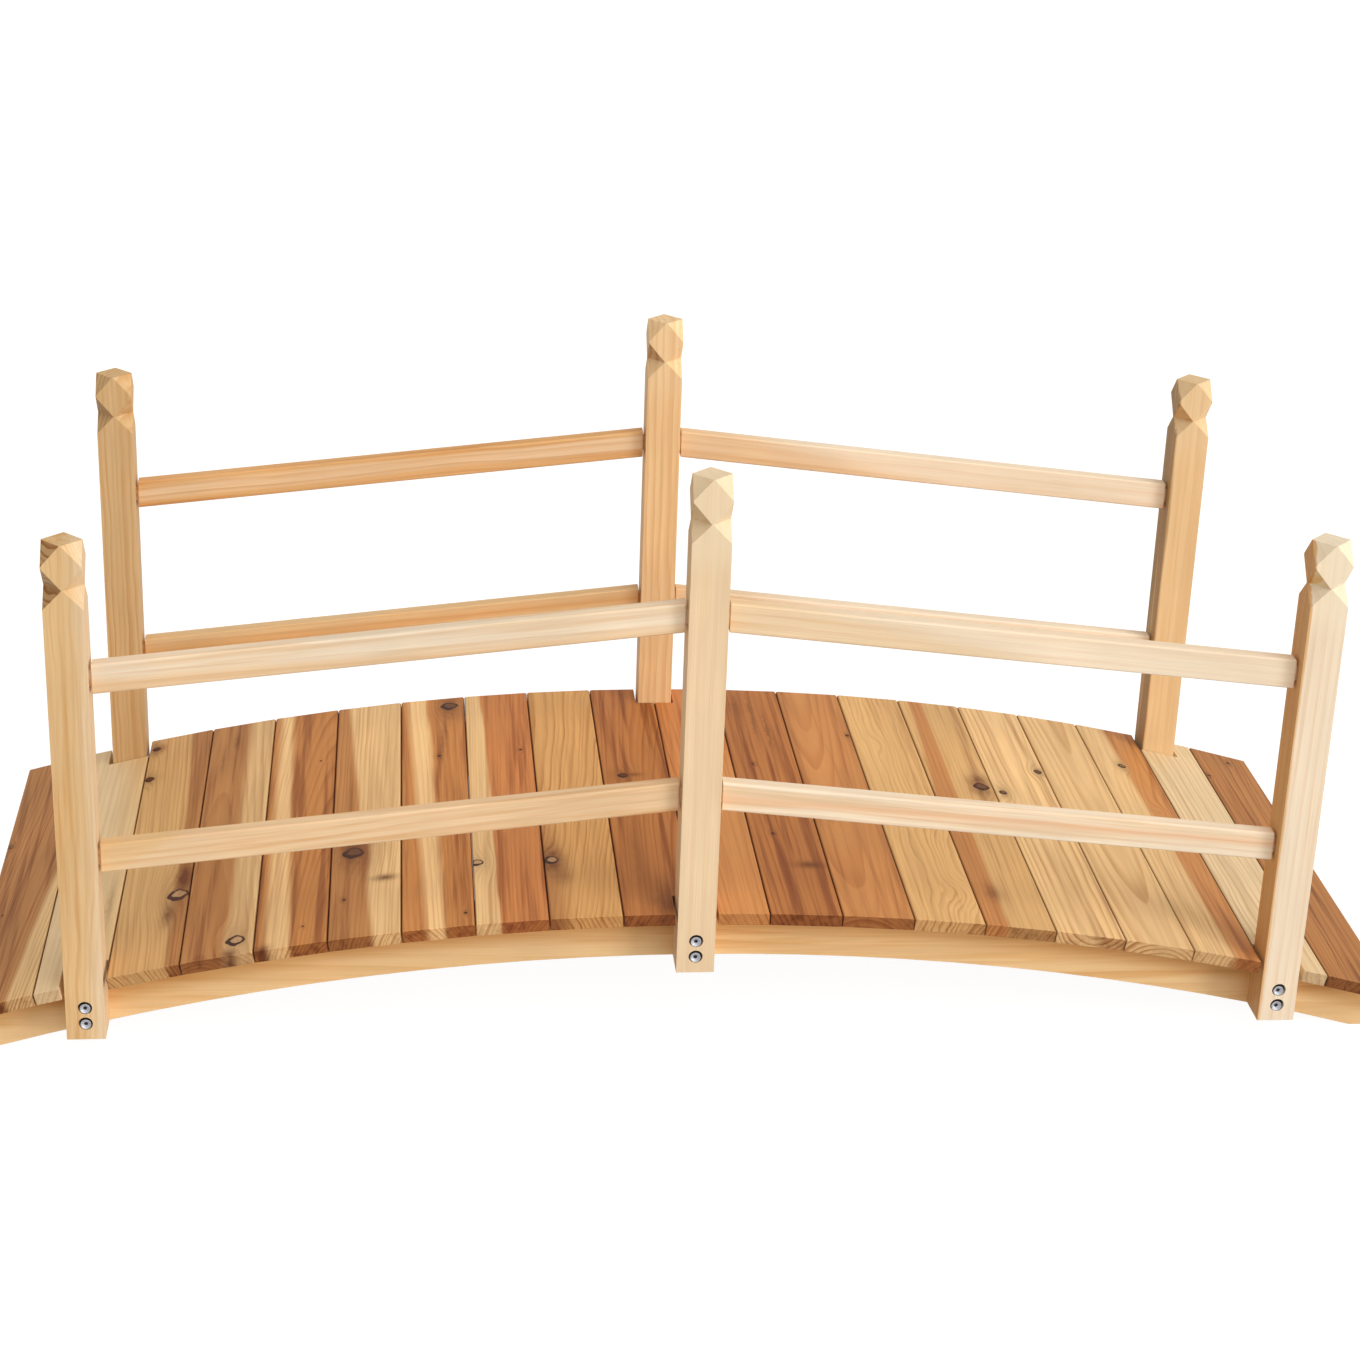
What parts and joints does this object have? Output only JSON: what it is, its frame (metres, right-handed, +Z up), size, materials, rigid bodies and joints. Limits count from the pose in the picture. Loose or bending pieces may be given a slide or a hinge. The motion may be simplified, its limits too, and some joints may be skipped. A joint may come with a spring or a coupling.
{
  "type": "arched garden bridge",
  "caption": "Arched wooden garden bridge: a plank deck on curved stringers, with railings of square posts with faceted heads and sloping rails on both sides.",
  "frame": {"origin": "on the ground under the middle of the bridge", "axes": "+X along the bridge, +Y across it from the near side to the far side, +Z up"},
  "size_m": [1.4814, 0.578, 0.6293],
  "materials": {
    "deck_cedar": "bare sanded softwood",
    "post_pine": "bare sanded softwood",
    "rail_pine": "bare sanded softwood",
    "stringer_pine": "bare sanded softwood",
    "bolt_steel": "zinc plated"
  },
  "bodies": {
    "root": {"front_stringer": "stringer_pine", "back_stringer": "stringer_pine", "front_left_post": "post_pine", "front_middle_post": "post_pine", "front_right_post": "post_pine", "back_left_post": "post_pine", "back_middle_post": "post_pine", "back_right_post": "post_pine", "front_left_upper_rail": "rail_pine", "front_left_lower_rail": "rail_pine", "front_right_upper_rail": "rail_pine", "front_right_lower_rail": "rail_pine", "back_left_upper_rail": "rail_pine", "back_left_lower_rail": "rail_pine", "back_right_upper_rail": "rail_pine", "back_right_lower_rail": "rail_pine", "plank_01": "deck_cedar", "plank_02": "deck_cedar", "plank_03": "deck_cedar", "plank_04": "deck_cedar", "plank_05": "deck_cedar", "plank_06": "deck_cedar", "plank_07": "deck_cedar", "plank_08": "deck_cedar", "plank_09": "deck_cedar", "plank_10": "deck_cedar", "plank_11": "deck_cedar", "plank_12": "deck_cedar", "plank_13": "deck_cedar", "plank_14": "deck_cedar", "plank_15": "deck_cedar", "plank_16": "deck_cedar", "plank_17": "deck_cedar", "plank_18": "deck_cedar", "plank_19": "deck_cedar", "plank_20": "deck_cedar"}
  },
  "joints": []
}
